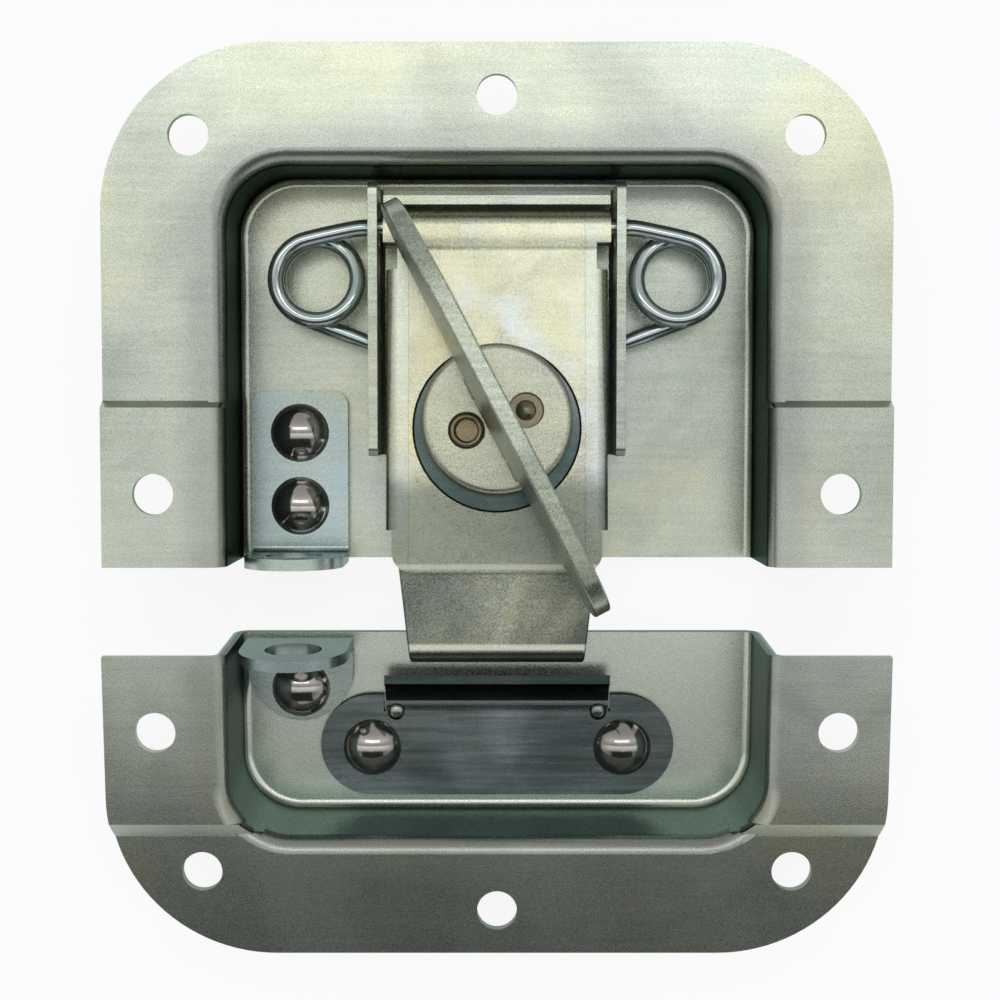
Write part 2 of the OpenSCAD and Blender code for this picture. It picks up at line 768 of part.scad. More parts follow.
latch_dish();
hinge_bracket();
spring();
carrier_plate();
slide_guide();
crank_plate();
crank_pin();
hub_disc();
hub_rivet_tubular();
hub_rivet_solid();
wing_pin();
wing_handle();
hook_plate();
latch_lug();
latch_lug_rivet_upper();
latch_lug_rivet_lower();
catch_dish();
catch_lug();
catch_lug_rivet();
keeper_plate();
keeper_rivet_left();
keeper_rivet_right();
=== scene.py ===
import bpy
import bmesh
import json
import math
from mathutils import Matrix, Vector


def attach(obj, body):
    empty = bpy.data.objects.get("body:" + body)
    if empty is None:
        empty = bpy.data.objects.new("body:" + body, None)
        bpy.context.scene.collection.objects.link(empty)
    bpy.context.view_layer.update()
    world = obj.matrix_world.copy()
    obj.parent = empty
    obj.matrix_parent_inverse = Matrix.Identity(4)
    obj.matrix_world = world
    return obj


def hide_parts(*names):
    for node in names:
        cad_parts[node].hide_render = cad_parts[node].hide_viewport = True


print("stage: frame")
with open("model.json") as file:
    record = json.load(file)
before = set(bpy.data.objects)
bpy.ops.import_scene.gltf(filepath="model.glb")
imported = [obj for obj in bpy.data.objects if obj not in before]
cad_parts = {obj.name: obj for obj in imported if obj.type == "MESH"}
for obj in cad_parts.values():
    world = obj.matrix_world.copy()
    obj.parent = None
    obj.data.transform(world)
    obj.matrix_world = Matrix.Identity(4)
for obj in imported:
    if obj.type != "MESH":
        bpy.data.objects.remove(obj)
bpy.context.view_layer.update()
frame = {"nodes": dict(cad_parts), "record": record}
nodes = frame["nodes"]


# Small helpers for shader nodes. Each adds its node, links or sets what it is given and returns the output.

def addNode(tree, kind, **values):
    node = tree.nodes.new(kind)
    for key, value in values.items():
        if key in node.inputs:
            node.inputs[key].default_value = value
        else:
            setattr(node, key, value)
    return node


def feed(tree, socket, value):
    if hasattr(value, "is_output"):
        tree.links.new(value, socket)
    else:
        socket.default_value = value


def mixColour(tree, factor, first, second, blend="MIX"):
    node = addNode(tree, "ShaderNodeMix", data_type="RGBA", blend_type=blend)
    for socket, value in ((0, factor), (6, first), (7, second)):  # 6 and 7 are the node's two colours
        feed(tree, node.inputs[socket], value)
    return node.outputs[2]


def rampOf(tree, source, low, high):
    node = addNode(tree, "ShaderNodeMapRange", interpolation_type="SMOOTHSTEP")
    node.inputs["From Min"].default_value = low
    node.inputs["From Max"].default_value = high
    tree.links.new(source, node.inputs["Value"])
    return node.outputs["Result"]


def noiseOf(tree, coords, scale, detail=4.0, rough=0.55, stretch=(1, 1, 1), turn=(0, 0, 0), warp=0.0):
    place = addNode(tree, "ShaderNodeMapping", Scale=stretch, Rotation=turn)
    tree.links.new(coords, place.inputs["Vector"])
    node = addNode(tree, "ShaderNodeTexNoise", Scale=scale, Detail=detail, Roughness=rough, Distortion=warp)
    tree.links.new(place.outputs["Vector"], node.inputs["Vector"])
    return node.outputs["Fac"]


def mathOf(tree, operation, *values):
    node = addNode(tree, "ShaderNodeMath", operation=operation)
    for socket, value in zip(node.inputs, values):
        feed(tree, socket, value)
    return node.outputs[0]


def bandOf(tree, source, low, high, soft):
    rise = rampOf(tree, source, low - soft, low + soft)
    fall = rampOf(tree, source, high + soft, high - soft)
    return mathOf(tree, "MULTIPLY", rise, fall)


def axesOf(tree, source):
    split = tree.nodes.new("ShaderNodeSeparateXYZ")
    tree.links.new(source, split.inputs[0])
    return split.outputs


def tone(rgb):
    return (*rgb, 1)


def grey(value):
    return (value, value, value, 1)


# The zinc plating. pale and dark are its two tones, warm and cool its faint rainbow patches, smudge the grey
# handling marks; the deep tone is painted shade that steep faces take, and it also colours a scribed line. The bands
# are painted highlights and painted shades. The other numbers are shares, sizes per metre and roughness.
zincBase = dict(pale=(0.66, 0.71, 0.61), dark=(0.54, 0.59, 0.51), warm=(0.72, 0.70, 0.45), cool=(0.52, 0.60, 0.66),
                smudge=(0.34, 0.31, 0.36), deep=(0.07, 0.12, 0.09), edgeTint=(1, 1, 1), metal=0.92, rough=0.30,
                cloud=48, speckSize=6200, speck=0.16, grain=0.05, warmShare=0.35, coolShare=0.22, smudgeShare=0.5,
                deepShare=0.8, scratch=0.25, bump=0.05, strip=None, worn=None, bands=(), mouth=None)

# what is alike in every zinc finish: masks are the noise values between which a mark fades in, fades are metres
plating = dict(cloudMask=(0.3, 0.7), cloudWarp=0.4, speckMask=(0.3, 0.7), patchWarp=0.8,
               grainScale=1400, grainStretch=(0.05, 1, 1), grainMask=(0.3, 0.7),
               hairScale=420, hairStretch=(0.02, 1, 1), hairTurn=(0, 0, 0.7), hairMask=(0.70, 0.74), hairWarp=0.3,
               tickScale=2600, tickStretch=(0.06, 1, 0.2), tickMask=(0.45, 0.6), tickShare=0.35,
               stripFade=(0.003, 0.008), scribeHalf=0.00007, scribeShare=0.35,
               wornScale=220, wornRagged=0.004, steepMask=(0.75, 0.15),
               mouthFade=(-0.0026, -0.0012), wallFade=(-0.0012, -0.0020),
               roughSpread=0.10, reliefGrain=2, reliefDepth=0.0002)
patches = [dict(mark="warm", size=0.6, turn=(0.3, 0.5, 0.9), mask=(0.45, 0.70), detail=3),
           dict(mark="cool", size=0.8, turn=(1.1, 0.2, 0.5), mask=(0.50, 0.75), detail=3),
           dict(mark="smudge", size=0.9, turn=(0.9, 0.2, 0.4), mask=(0.56, 0.74), detail=6)]


def addClouds(tree, coords, look):
    # two tones in soft clouds, with the rainbow patches and handling marks over them
    noise = noiseOf(tree, coords, look["cloud"], warp=plating["cloudWarp"])
    clouds = rampOf(tree, noise, *plating["cloudMask"])
    colour = mixColour(tree, clouds, tone(look["dark"]), tone(look["pale"]))
    for patch in patches:
        noise = noiseOf(tree, coords, look["cloud"] * patch["size"], patch["detail"], turn=patch["turn"],
                        warp=plating["patchWarp"])
        share = mathOf(tree, "MULTIPLY", rampOf(tree, noise, *patch["mask"]), look[patch["mark"] + "Share"])
        colour = mixColour(tree, share, colour, tone(look[patch["mark"]]))
    return colour


def addScratches(tree, coords, look, colour):
    noise = noiseOf(tree, coords, plating["hairScale"], 1, 0.4, plating["hairStretch"], plating["hairTurn"],
                    plating["hairWarp"])
    hair = rampOf(tree, noise, *plating["hairMask"])
    return mixColour(tree, mathOf(tree, "MULTIPLY", hair, look["scratch"]), colour, tone(look["pale"]))


def addStrip(tree, coords, place, look, colour):
    # a scribed line and a ticked strip along both edges
    inner, outer, share, stripTone = look["strip"]
    side = mathOf(tree, "ABSOLUTE", place["X"])
    inside = mathOf(tree, "MULTIPLY", mathOf(tree, "GREATER_THAN", side, inner),
                    mathOf(tree, "LESS_THAN", side, outer))
    inside = mathOf(tree, "MULTIPLY", inside, rampOf(tree, place["Y"], *plating["stripFade"]))
    fromLine = mathOf(tree, "ABSOLUTE", mathOf(tree, "SUBTRACT", side, inner))
    scribed = mathOf(tree, "LESS_THAN", fromLine, plating["scribeHalf"])
    noise = noiseOf(tree, coords, plating["tickScale"], 2, 0.5, plating["tickStretch"])
    ticks = mathOf(tree, "MULTIPLY", inside, rampOf(tree, noise, *plating["tickMask"]))
    colour = mixColour(tree, mathOf(tree, "MULTIPLY", scribed, plating["scribeShare"]), colour, tone(look["deep"]))
    colour = mixColour(tree, mathOf(tree, "MULTIPLY", inside, share), colour, tone(stripTone))
    return mixColour(tree, mathOf(tree, "MULTIPLY", ticks, plating["tickShare"]), colour, tone(look["dark"]))


def addWear(tree, coords, place, look, colour):
    # the plating darkens below a ragged line: worn plating on the carrier, painted shade at the catch's foot
    high, low, share, wornTone = look["worn"]
    ragged = plating["wornRagged"]
    noise = mathOf(tree, "MULTIPLY", noiseOf(tree, coords, plating["wornScale"]), ragged)
    line = mathOf(tree, "ADD", place["Y"], noise)
    below = rampOf(tree, line, high + ragged / 2, low + ragged / 2)
    return mixColour(tree, mathOf(tree, "MULTIPLY", below, share), colour, tone(wornTone), "MULTIPLY")


def addBand(tree, place, band, colour):
    # a band of painted highlight or painted shade across one axis of the part
    away = mathOf(tree, "ABSOLUTE", mathOf(tree, "SUBTRACT", place[band["axis"]], band["middle"]))
    near = mathOf(tree, "MULTIPLY", rampOf(tree, away, band["half"] + band["soft"], band["half"]), band["share"])
    if "maxX" in band:
        side = mathOf(tree, "LESS_THAN", mathOf(tree, "ABSOLUTE", place["X"]), band["maxX"])
        near = mathOf(tree, "MULTIPLY", near, side)
    return mixColour(tree, near, colour, tone(band["tone"]))


def mouthDistance(tree, place, mouth):
    # how far a point lies outside the recess's rounded outline, less than 0 inside it
    overX = mathOf(tree, "SUBTRACT", mathOf(tree, "ABSOLUTE", place["X"]), mouth["straightX"])
    overY = mathOf(tree, "SUBTRACT", mathOf(tree, "MULTIPLY", place["Y"], mouth["side"]), mouth["straightY"])
    over = tree.nodes.new("ShaderNodeCombineXYZ")
    tree.links.new(mathOf(tree, "MAXIMUM", overX, 0), over.inputs["X"])
    tree.links.new(mathOf(tree, "MAXIMUM", overY, 0), over.inputs["Y"])
    length = addNode(tree, "ShaderNodeVectorMath", operation="LENGTH")
    tree.links.new(over.outputs[0], length.inputs[0])
    return mathOf(tree, "SUBTRACT", length.outputs["Value"], mouth["corner"])


def addDepth(tree, place, look, colour):
    # steep faces take a deeper tone as painted shade; round a mouth only the walls inside it do, and painted shade
    # lies in a band along the mouth's bend
    faceNormal = axesOf(tree, tree.nodes.new("ShaderNodeNewGeometry").outputs["True Normal"])
    steep = rampOf(tree, mathOf(tree, "ABSOLUTE", faceNormal["Z"]), *plating["steepMask"])
    mouth = look["mouth"]
    if mouth:
        away = mouthDistance(tree, place, mouth)
        near = mathOf(tree, "MULTIPLY", rampOf(tree, away, mouth["reach"], 0.0),
                      rampOf(tree, away, *plating["mouthFade"]))
        colour = mixColour(tree, mathOf(tree, "MULTIPLY", near, mouth["share"]), colour, tone(mouth["tone"]))
        steep = mathOf(tree, "MULTIPLY", steep, rampOf(tree, away, *plating["wallFade"]))
    return mixColour(tree, mathOf(tree, "MULTIPLY", steep, look["deepShare"]), colour, tone(look["deep"]))


def zincMaterial(name, look):
    material = bpy.data.materials.new(name)
    material.use_nodes = True
    tree = material.node_tree
    tree.nodes.clear()
    out = tree.nodes.new("ShaderNodeOutputMaterial")
    shader = addNode(tree, "ShaderNodeBsdfPrincipled", Metallic=look["metal"])
    shader.inputs["Specular Tint"].default_value = tone(look["edgeTint"])
    tree.links.new(shader.outputs["BSDF"], out.inputs["Surface"])
    coords = tree.nodes.new("ShaderNodeTexCoord").outputs["Object"]
    place = axesOf(tree, coords)

    specks = rampOf(tree, noiseOf(tree, coords, look["speckSize"], 3, 0.7), *plating["speckMask"])
    grain = noiseOf(tree, coords, plating["grainScale"], 3, 0.6, plating["grainStretch"])
    colour = addClouds(tree, coords, look)
    colour = mixColour(tree, look["speck"], colour, specks, "OVERLAY")
    colour = mixColour(tree, look["grain"], colour, rampOf(tree, grain, *plating["grainMask"]), "OVERLAY")
    colour = addScratches(tree, coords, look, colour)
    if look["strip"]:
        colour = addStrip(tree, coords, place, look, colour)
    if look["worn"]:
        colour = addWear(tree, coords, place, look, colour)
    for band in look["bands"]:
        colour = addBand(tree, place, band, colour)
    colour = addDepth(tree, place, look, colour)
    tree.links.new(colour, shader.inputs["Base Color"])

    spread = plating["roughSpread"]
    rough = mathOf(tree, "MULTIPLY_ADD", specks, spread, look["rough"] - spread / 2)
    tree.links.new(rough, shader.inputs["Roughness"])
    relief = mathOf(tree, "ADD", specks, mathOf(tree, "MULTIPLY", grain, plating["reliefGrain"] * look["grain"]))
    bump = addNode(tree, "ShaderNodeBump", Strength=look["bump"], Distance=plating["reliefDepth"])
    tree.links.new(relief, bump.inputs["Height"])
    tree.links.new(bump.outputs["Normal"], shader.inputs["Normal"])
    return material


def zinc(**changes):
    return {**zincBase, **changes}


slotLooks = {
    "zinc_dish": zinc(
        pale=(0.60, 0.65, 0.55), dark=(0.45, 0.49, 0.42), smudge=(0.30, 0.28, 0.32), deep=(0.026, 0.046, 0.037),
        edgeTint=(0.20, 0.30, 0.25), rough=0.27, speck=0.10, grain=0.06, warmShare=0.45, coolShare=0.3, deepShare=1.0,
        # painted shade round the bend at the recess's mouth
        mouth=dict(straightX=0.0272, straightY=0.0440, corner=0.0104, side=1, reach=0.0050, share=0.42,
                   tone=(0.30, 0.30, 0.31))),
    "zinc_bracket": zinc(pale=(0.60, 0.66, 0.54), dark=(0.46, 0.52, 0.43), rough=0.28, deepShare=0.3, grain=0.16),
    "spring_steel": zinc(
        pale=(0.60, 0.69, 0.67), dark=(0.48, 0.57, 0.55), rough=0.14, warmShare=0.1, coolShare=0.4, smudgeShare=0.2,
        deepShare=0.3, speck=0.05, bump=0.01),
    "zinc_carrier": zinc(
        pale=(0.68, 0.69, 0.52), dark=(0.53, 0.54, 0.41), warm=(0.74, 0.65, 0.36), cool=(0.62, 0.70, 0.80),
        smudge=(0.40, 0.35, 0.23), cloud=75, speckSize=3800, speck=0.34, warmShare=0.55, coolShare=0.6,
        smudgeShare=0.55, deepShare=0.3,
        strip=(0.0117, 0.0138, 0.40, (0.62, 0.70, 0.66)),
        worn=(0.0135, 0.0090, 0.95, (0.40, 0.44, 0.47)),
        # a painted highlight along the carrier's lower rim
        bands=[dict(axis="Y", middle=-0.0003, half=0.00022, soft=0.0003, share=0.6, tone=(0.62, 0.64, 0.54))]),
    "zinc_guide": zinc(pale=(0.40, 0.44, 0.37), dark=(0.28, 0.32, 0.27), deepShare=0.5),
    # the crank's tones are dark as painted shade, for its ring that lies recessed under the hub disc
    "zinc_crank": zinc(
        pale=(0.13, 0.175, 0.155), dark=(0.055, 0.085, 0.08), cool=(0.07, 0.11, 0.125), deep=(0.05, 0.08, 0.08),
        rough=0.24, warmShare=0.05, deepShare=0.6),
    "pin_steel": zinc(pale=(0.55, 0.56, 0.50), dark=(0.40, 0.41, 0.37), deepShare=0.2),
    "zinc_hub": zinc(
        pale=(0.55, 0.57, 0.44), dark=(0.42, 0.44, 0.35), rough=0.32, speck=0.34, speckSize=4200, coolShare=0.35,
        deepShare=0.55),
    "bronzed_rivet": zinc(
        pale=(0.27, 0.235, 0.155), dark=(0.11, 0.09, 0.055), warm=(0.36, 0.27, 0.13), deep=(0.06, 0.045, 0.03),
        rough=0.24, warmShare=0.4, coolShare=0.1, smudgeShare=0.4, deepShare=0.75),
    "zinc_wing": zinc(
        pale=(0.40, 0.44, 0.36), dark=(0.27, 0.31, 0.25), smudge=(0.20, 0.19, 0.19), deep=(0.13, 0.16, 0.13),
        rough=0.28, speck=0.30, speckSize=4200, grain=0.12, deepShare=0.45),
    "zinc_hook": zinc(
        pale=(0.20, 0.225, 0.19), dark=(0.085, 0.10, 0.09), smudge=(0.14, 0.14, 0.15), cloud=75, rough=0.28,
        speck=0.42, speckSize=4200, deepShare=0.5,
        # a painted highlight on the hook's bend and painted shade just below it
        bands=[dict(axis="Y", middle=-0.0113, half=0.00035, soft=0.0004, share=0.85, tone=(0.70, 0.70, 0.60)),
               dict(axis="Y", middle=-0.0125, half=0.0004, soft=0.0004, share=0.8, tone=(0.05, 0.06, 0.05))]),
    "zinc_lug": zinc(
        pale=(0.50, 0.60, 0.58), dark=(0.36, 0.45, 0.44), warm=(0.70, 0.70, 0.42), cool=(0.46, 0.62, 0.72),
        deep=(0.12, 0.15, 0.14), edgeTint=(0.5, 0.6, 0.57), rough=0.24, warmShare=0.3, coolShare=0.6, smudgeShare=0.2,
        deepShare=0.6),
    "dark_keeper": zinc(
        pale=(0.27, 0.33, 0.33), dark=(0.13, 0.165, 0.165), deep=(0.012, 0.022, 0.018), edgeTint=(0.2, 0.3, 0.26),
        rough=0.26, speck=0.1, grain=0.25, warmShare=0.05, coolShare=0.3, smudgeShare=0.3, deepShare=1.0,
        # painted shade on the keeper's lip and a painted highlight on its bend line
        bands=[dict(axis="Y", middle=-0.0178, half=0.0021, soft=0.0001, share=0.92, tone=(0.014, 0.022, 0.019),
                    maxX=0.0155),
               dict(axis="Y", middle=-0.0201, half=0.0002, soft=0.00025, share=0.9, tone=(0.66, 0.72, 0.62),
                    maxX=0.0155)]),
    "bright_rivet": zinc(
        pale=(0.52, 0.49, 0.45), dark=(0.42, 0.40, 0.37), metal=0.97, rough=0.10, speck=0.03, grain=0.0, scratch=0.1,
        warmShare=0.0, coolShare=0.0, smudgeShare=0.15, deepShare=0.0, bump=0.01),
}

# three pieces have a finish of their own; the catch is darker at its foot as painted shade and paler down on its
# floor as painted light
pieceLooks = {
    "catch_dish": ("zinc_catch", {
        **slotLooks["zinc_dish"], "pale": (0.62, 0.67, 0.57), "dark": (0.47, 0.51, 0.44), "smudge": (0.22, 0.21, 0.24),
        "deep": (0.17, 0.215, 0.20), "edgeTint": (0.42, 0.50, 0.47),
        # painted shade, darker towards the catch's foot
        "worn": (-0.022, -0.038, 0.68, (0.42, 0.44, 0.46)),
        # painted light, paler over the catch's floor
        "bands": [dict(axis="Z", middle=-0.0134, half=0.0016, soft=0.0008, share=0.8, tone=(0.82, 0.87, 0.75))],
        # painted shade round the bend at the recess's mouth
        "mouth": dict(straightX=0.0272, straightY=0.0284, corner=0.0104, side=-1, reach=0.0040, share=0.25,
                      tone=(0.40, 0.42, 0.38))}),
    "hub_rivet_solid": ("nose_steel", zinc(
        pale=(0.25, 0.22, 0.15), dark=(0.12, 0.10, 0.07), deep=(0.05, 0.04, 0.025), rough=0.20)),
    "curl": ("curled_end", zinc(
        pale=(0.42, 0.48, 0.43), dark=(0.20, 0.25, 0.23), deep=(0.03, 0.045, 0.04), rough=0.24, deepShare=0.9)),
}

print("stage: materials")
slotMaterials = {slot: zincMaterial(slot, look) for slot, look in slotLooks.items()}
pieceMaterials = {piece: zincMaterial(name, look) for piece, (name, look) in pieceLooks.items()}
nodeSlots = {part["node"]: part["material_slot"] for part in frame["record"]["subparts"]}
bodyOf = {node: body for body, group in frame["record"]["behaviour"]["bodies"].items() for node in group}


def coat(obj, node):
    obj.data.materials.clear()
    obj.data.materials.append(pieceMaterials.get(node) or slotMaterials[nodeSlots[node]])


for nodeName, nodeObj in nodes.items():
    coat(nodeObj, nodeName)


def finishPiece(obj, node):
    bpy.context.scene.collection.objects.link(obj)
    coat(obj, node)
    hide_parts(node)
    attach(obj, bodyOf[node])


def dropNormals(mesh):
    if "custom_normal" in mesh.attributes:
        mesh.attributes.remove(mesh.attributes["custom_normal"])


def shadeByAngle(mesh, degrees):
    mesh.shade_smooth()
    mesh.set_sharp_from_angle(angle=math.radians(degrees))


def applyModifiers(raw):
    baked = bpy.data.meshes.new_from_object(raw.evaluated_get(bpy.context.evaluated_depsgraph_get()))
    bpy.data.objects.remove(raw)
    return baked


# Pressed and cut sheet has no knife edges, so each plate is remade with a small round on every corner.
softEdges = {
    "latch_dish": 0.00032, "catch_dish": 0.00032, "hinge_bracket": 0.00022, "carrier_plate": 0.00022,
    "slide_guide": 0.00018, "crank_plate": 0.00020, "hub_disc": 0.00016, "wing_handle": 0.00042,
    "hook_plate": 0.00028, "latch_lug": 0.00026, "catch_lug": 0.00026, "keeper_plate": 0.00024,
}
# weld joins points closer than this, flatAngle is below a bend's facets, roundFrom is the sharpest edge left alone
plateShape = dict(weld=2e-6, flatAngle=0.6, smoothAngle=40, roundFrom=32, segments=2)


def softPlate(node, width, reshape=None):
    shape = plateShape
    mesh = nodes[node].data.copy()
    mesh.name = node + "Soft"
    work = bmesh.new()
    work.from_mesh(mesh)
    bmesh.ops.remove_doubles(work, verts=work.verts, dist=shape["weld"])
    bmesh.ops.dissolve_limit(work, angle_limit=math.radians(shape["flatAngle"]), verts=work.verts, edges=work.edges)
    if reshape:
        reshape(work)
    work.to_mesh(mesh)
    work.free()
    dropNormals(mesh)
    shadeByAngle(mesh, shape["smoothAngle"])
    raw = bpy.data.objects.new(node + "Raw", mesh)
    bpy.context.scene.collection.objects.link(raw)
    bevel = raw.modifiers.new("round", "BEVEL")
    bevel.limit_method = "ANGLE"
    bevel.angle_limit = math.radians(shape["roundFrom"])
    bevel.width = width
    bevel.segments = shape["segments"]
    bevel.use_clamp_overlap = True
    bevel.miter_outer = "MITER_ARC"
    flats = raw.modifiers.new("flats", "WEIGHTED_NORMAL")
    flats.mode = "FACE_AREA"
    flats.weight = 100
    flats.keep_sharp = True
    finishPiece(bpy.data.objects.new(node + "Plate", applyModifiers(raw)), node)


# at rest the carrier and what it holds lean about the spring's axle
swing = next(joint for joint in frame["record"]["behaviour"]["joints"] if joint["name"] == "carrier_swing")
pivot = Vector(swing["pos_m"])
lean = Matrix.Rotation(math.radians(swing["range_deg"][0]), 4, "X")
leaning = Matrix.Translation(pivot) @ lean @ Matrix.Translation(-pivot)

# the sheet steps down a little where it leaves the rolled head: steps are (distance up the part, drop)
carrierShape = dict(top=-0.00431, sheet=0.0012, steps=[(0.0436, 0.0), (0.0428, 0.00005), (0.0421, 0.00014),
                                                       (0.0417, 0.00018), (0.0413, 0.00036)])


def stepDown(work):
    shape = carrierShape
    bmesh.ops.transform(work, matrix=leaning.inverted(), verts=work.verts)
    for y, _ in shape["steps"]:
        bmesh.ops.bisect_plane(work, geom=work.verts[:] + work.edges[:] + work.faces[:], dist=1e-7,
                               plane_co=(0, y, 0), plane_no=(0, 1, 0))
    for vert in work.verts:
        if vert.co.y > shape["steps"][0][0] or vert.co.z < shape["top"] - shape["sheet"]:
            continue
        drop = shape["steps"][-1][1]
        for (highY, highDrop), (lowY, lowDrop) in zip(shape["steps"], shape["steps"][1:]):
            if vert.co.y > lowY:
                drop = highDrop + (lowDrop - highDrop) * (highY - vert.co.y) / (highY - lowY)
                break
        vert.co.z -= drop * (vert.co.z - shape["top"] + shape["sheet"]) / shape["sheet"]
    bmesh.ops.transform(work, matrix=leaning, verts=work.verts)


# the step in the side flanges is pressed sharp: its run shrinks to a share of the solid's
dishShape = dict(low=0.0191, runFrom=0.02007, runTo=0.02220, high=0.0232, share=0.42)


def sharpenStep(work):
    low, runFrom, runTo, high, share = (dishShape[key] for key in ("low", "runFrom", "runTo", "high", "share"))
    middle = (runFrom + runTo) / 2
    stops = [(low, low), (runFrom, middle - (middle - runFrom) * share), (runTo, middle + (runTo - middle) * share),
             (high, high)]
    for vert in work.verts:
        for (oldLow, newLow), (oldHigh, newHigh) in zip(stops, stops[1:]):
            if oldLow <= vert.co.y < oldHigh:
                vert.co.y = newLow + (newHigh - newLow) * (vert.co.y - oldLow) / (oldHigh - oldLow)
                break


# the two knuckles are slim enough to stay under the wing
hubShape = dict(centre=(0.0, 0.0178), wingAngle=117.5, discTop=-0.00253, knuckleIn=0.0044, knuckleOut=0.0078,
                knuckleHalf=0.0017, slim=0.72)


def slimKnuckles(work):
    shape = hubShape
    angle = math.radians(shape["wingAngle"])
    along = Vector((math.cos(angle), math.sin(angle), 0))
    side = Vector((-along.y, along.x, 0))
    centre = Vector((*shape["centre"], 0))
    bmesh.ops.transform(work, matrix=leaning.inverted(), verts=work.verts)
    for vert in work.verts:
        out = vert.co - centre
        across = out.dot(side)
        if vert.co.z > shape["discTop"] and abs(across) < shape["knuckleHalf"] and \
                shape["knuckleIn"] < abs(out.dot(along)) < shape["knuckleOut"]:
            vert.co -= side * across * (1 - shape["slim"])
    bmesh.ops.transform(work, matrix=leaning, verts=work.verts)


print("stage: soft plates")
reshapes = {"carrier_plate": stepDown, "latch_dish": sharpenStep, "hub_disc": slimKnuckles}
for plateNode, edgeWidth in softEdges.items():
    softPlate(plateNode, edgeWidth, reshapes.get(plateNode))

# refill puts back the wire's thickness that the smoothing takes; the angles pair its triangles into quads
springShape = dict(weld=2e-6, flatWithin=40, squareWithin=60, refill=0.00004, levels=2)


def smoothSpring():
    shape = springShape
    mesh = nodes["spring"].data.copy()
    mesh.name = "springWire"
    dropNormals(mesh)
    work = bmesh.new()
    work.from_mesh(mesh)
    bmesh.ops.remove_doubles(work, verts=work.verts, dist=shape["weld"])
    bmesh.ops.join_triangles(work, faces=work.faces, angle_face_threshold=math.radians(shape["flatWithin"]),
                             angle_shape_threshold=math.radians(shape["squareWithin"]))
    work.normal_update()
    for vert in work.verts:
        vert.co += vert.normal * shape["refill"]
    work.to_mesh(mesh)
    work.free()
    raw = bpy.data.objects.new("springRaw", mesh)
    bpy.context.scene.collection.objects.link(raw)
    finer = raw.modifiers.new("finer", "SUBSURF")
    finer.levels = finer.render_levels = shape["levels"]
    baked = applyModifiers(raw)
    baked.shade_smooth()
    finishPiece(bpy.data.objects.new("springWire", baked), "spring")


print("stage: spring")
smoothSpring()

# the keeper's bend ends in two small curls that sit in its relief holes; the outline is (radius, height)
curlShape = dict(x=0.0140, y=-0.02128, z=-0.01150, tilt=-4.5, steps=28, smoothAngle=50,
                 outline=[(0.0, 0.00036), (0.00030, 0.00034), (0.00058, 0.00027), (0.00084, 0.00013),
                          (0.00102, -0.00006), (0.00112, -0.00030), (0.00114, -0.00090), (0.0, -0.00090)])


def makeCurl(name, side):
    shape = curlShape
    steps = shape["steps"]
    angles = [2 * math.pi * i / steps for i in range(steps)]
    work = bmesh.new()
    rings = []
    for radius, height in shape["outline"]:
        points = [(radius * math.cos(a), radius * math.sin(a), height) for a in angles] if radius else [(0, 0, height)]
        rings.append([work.verts.new(point) for point in points])
    for upper, lower in zip(rings, rings[1:]):
        for i in range(steps):
            j = (i + 1) % steps
            corners = [upper[0]] if len(upper) == 1 else [upper[j], upper[i]]
            corners += [lower[0]] if len(lower) == 1 else [lower[i], lower[j]]
            work.faces.new(corners)
    bmesh.ops.recalc_face_normals(work, faces=work.faces)
    place = Matrix.Translation((side * shape["x"], shape["y"], shape["z"]))
    bmesh.ops.transform(work, matrix=place @ Matrix.Rotation(math.radians(-shape["tilt"]), 4, "X"), verts=work.verts)
    mesh = bpy.data.meshes.new(name)
    work.to_mesh(mesh)
    work.free()
    shadeByAngle(mesh, shape["smoothAngle"])
    mesh.materials.append(pieceMaterials["curl"])
    curl = bpy.data.objects.new(name, mesh)
    bpy.context.scene.collection.objects.link(curl)
    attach(curl, bodyOf["keeper_plate"])


print("stage: keeper curls")
makeCurl("keeperCurlLeft", -1)
makeCurl("keeperCurlRight", 1)

# The room is soft and grey. Its brightness goes by direction, as (towards, brightness): -1 is over the catch's foot,
# 1 over the latch's head. One bright bar and one dark patch hang overhead, and its foot is as pale as the floor.
roomTones = [(-1.0, 0.50), (-0.84, 0.42), (-0.60, 0.30), (-0.44, 0.16), (-0.36, 0.22), (-0.28, 0.62), (-0.20, 1.00),
             (-0.145, 0.90), (-0.10, 1.40), (-0.065, 1.24), (-0.03, 0.60), (0.02, 0.42), (0.08, 0.52), (0.16, 0.80),
             (0.30, 0.94), (0.42, 0.66), (0.65, 0.50), (1.0, 0.45)]
room = dict(horizon=0.46, tonesFrom=(0.15, 0.85), overhead=(0.2, 0.3), foot=0.94, footFade=(0.12, 0.05),
            bar=3.2, barY=(0.20, 0.31, 0.02), barX=(-0.42, 0.42, 0.06),
            patch=0.015, patchAt=(0.0, -0.57), patchSize=(0.56, 0.23), patchSoft=(0.05, 0.03))


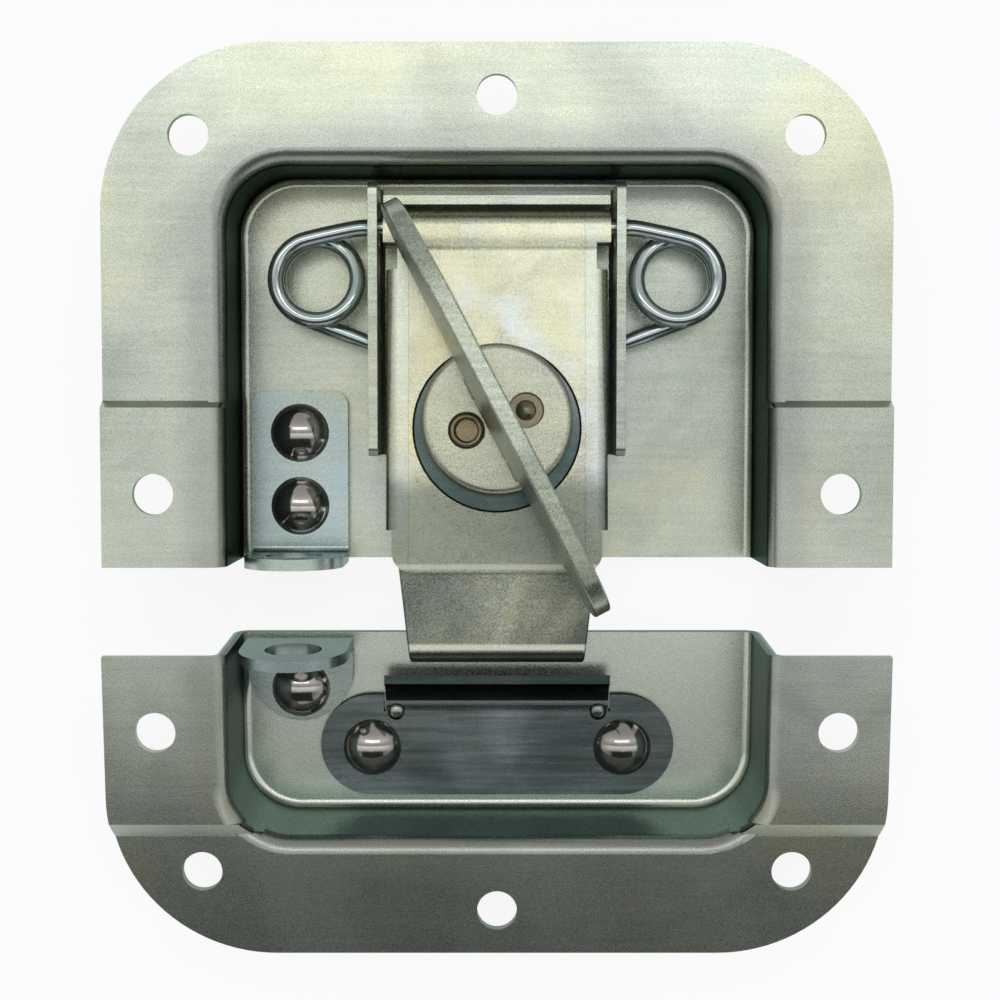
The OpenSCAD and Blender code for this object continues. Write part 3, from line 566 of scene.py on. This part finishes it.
def makeWorld():
    world = bpy.data.worlds.new("studioWorld")
    world.use_nodes = True
    tree = world.node_tree
    tree.nodes.clear()
    out = tree.nodes.new("ShaderNodeOutputWorld")
    towards = axesOf(tree, tree.nodes.new("ShaderNodeTexCoord").outputs["Generated"])
    tones = tree.nodes.new("ShaderNodeValToRGB")
    stops = tones.color_ramp.elements
    while len(stops) < len(roomTones):
        stops.new(0.5)
    for stop, (side, value) in zip(stops, roomTones):
        stop.position = 0.5 + side / 2
        stop.color = grey(value)
    tree.links.new(mathOf(tree, "MULTIPLY_ADD", towards["Y"], 0.5, 0.5), tones.inputs["Fac"])
    sky = mixColour(tree, rampOf(tree, towards["Z"], *room["tonesFrom"]), grey(room["horizon"]), tones.outputs["Color"])
    overhead = rampOf(tree, towards["Z"], *room["overhead"])
    bar = mathOf(tree, "MULTIPLY", bandOf(tree, towards["Y"], *room["barY"]), bandOf(tree, towards["X"], *room["barX"]))
    sky = mixColour(tree, mathOf(tree, "MULTIPLY", overhead, bar), sky, grey(room["bar"]))
    patchX, patchY = (bandOf(tree, towards[axis], at - half, at + half, soft) for axis, at, half, soft in
                      zip("XY", room["patchAt"], room["patchSize"], room["patchSoft"]))
    patch = mathOf(tree, "MULTIPLY", patchY, patchX)
    sky = mixColour(tree, mathOf(tree, "MULTIPLY", overhead, patch), sky, grey(room["patch"]))
    sky = mixColour(tree, rampOf(tree, towards["Z"], *room["footFade"]), sky, grey(room["foot"]))
    light = addNode(tree, "ShaderNodeBackground", Strength=1.0)
    tree.links.new(sky, light.inputs["Color"])
    tree.links.new(light.outputs[0], out.inputs["Surface"])
    bpy.context.scene.world = world


# two soft strip lamps, one over each end; light is what they give per square metre
stripShape = dict(light=2.4, size=(0.8, 0.16), at=(0.0, 0.34, 0.5))


def makeStrip(name, side):
    light = bpy.data.lights.new(name, "AREA")
    light.shape = "RECTANGLE"
    light.size, light.size_y = stripShape["size"]
    light.energy = stripShape["light"] * math.pi * light.size * light.size_y
    lamp = bpy.data.objects.new(name, light)
    at = Vector(stripShape["at"])
    lamp.location = (at.x, side * at.y, at.z)
    lamp.rotation_euler = (-lamp.location).to_track_quat("-Z", "Y").to_euler()
    lamp.visible_glossy = False
    bpy.context.scene.collection.objects.link(lamp)


# shadow is the share of its own shading that the white floor keeps
floorShape = dict(z=-0.0156, reach=12.0, white=0.93, shadow=0.14)


def floorMaterial():
    material = bpy.data.materials.new("floorWhite")
    material.use_nodes = True
    tree = material.node_tree
    tree.nodes.clear()
    out = tree.nodes.new("ShaderNodeOutputMaterial")
    lit = addNode(tree, "ShaderNodeBsdfDiffuse", Color=grey(floorShape["white"]))
    white = addNode(tree, "ShaderNodeEmission", Color=grey(1), Strength=1.0)
    paths = tree.nodes.new("ShaderNodeLightPath").outputs
    seen = mathOf(tree, "MAXIMUM", paths["Is Camera Ray"], paths["Is Glossy Ray"])
    seen = mathOf(tree, "MAXIMUM", seen, paths["Is Transmission Ray"])
    mix = tree.nodes.new("ShaderNodeMixShader")
    tree.links.new(mathOf(tree, "MULTIPLY", seen, 1 - floorShape["shadow"]), mix.inputs[0])
    tree.links.new(lit.outputs[0], mix.inputs[1])
    tree.links.new(white.outputs[0], mix.inputs[2])
    tree.links.new(mix.outputs[0], out.inputs["Surface"])
    return material


def makeFloor():
    z, reach = floorShape["z"], floorShape["reach"]
    mesh = bpy.data.meshes.new("floor")
    corners = [(-reach, -reach, z), (reach, -reach, z), (reach, reach, z), (-reach, reach, z)]
    mesh.from_pydata(corners, [], [(0, 1, 2, 3)])
    mesh.materials.append(floorMaterial())
    floor = bpy.data.objects.new("floor", mesh)
    bpy.context.scene.collection.objects.link(floor)


# lean is how many degrees the camera stands towards the latch's head from straight above
view = dict(target=(0.0004, 0.00864, 0.0), distance=0.21, lean=3.0, pixelsPerMetre=7650, imageWidth=1000, sensor=36)


def makeCamera():
    data = bpy.data.cameras.new("camera")
    data.sensor_width = view["sensor"]
    data.lens = view["pixelsPerMetre"] * view["distance"] / view["imageWidth"] * view["sensor"]
    data.clip_start = 0.01
    camera = bpy.data.objects.new("camera", data)
    tilt = math.radians(view["lean"])
    camera.location = Vector(view["target"]) + view["distance"] * Vector((0, math.sin(tilt), math.cos(tilt)))
    camera.rotation_euler = (-tilt, 0, 0)
    bpy.context.scene.collection.objects.link(camera)
    bpy.context.scene.camera = camera


print("stage: studio")
makeWorld()
makeStrip("stripUpper", 1)
makeStrip("stripLower", -1)
makeFloor()
makeCamera()
bpy.context.scene.view_settings.view_transform = "Standard"

print("stage: finish")
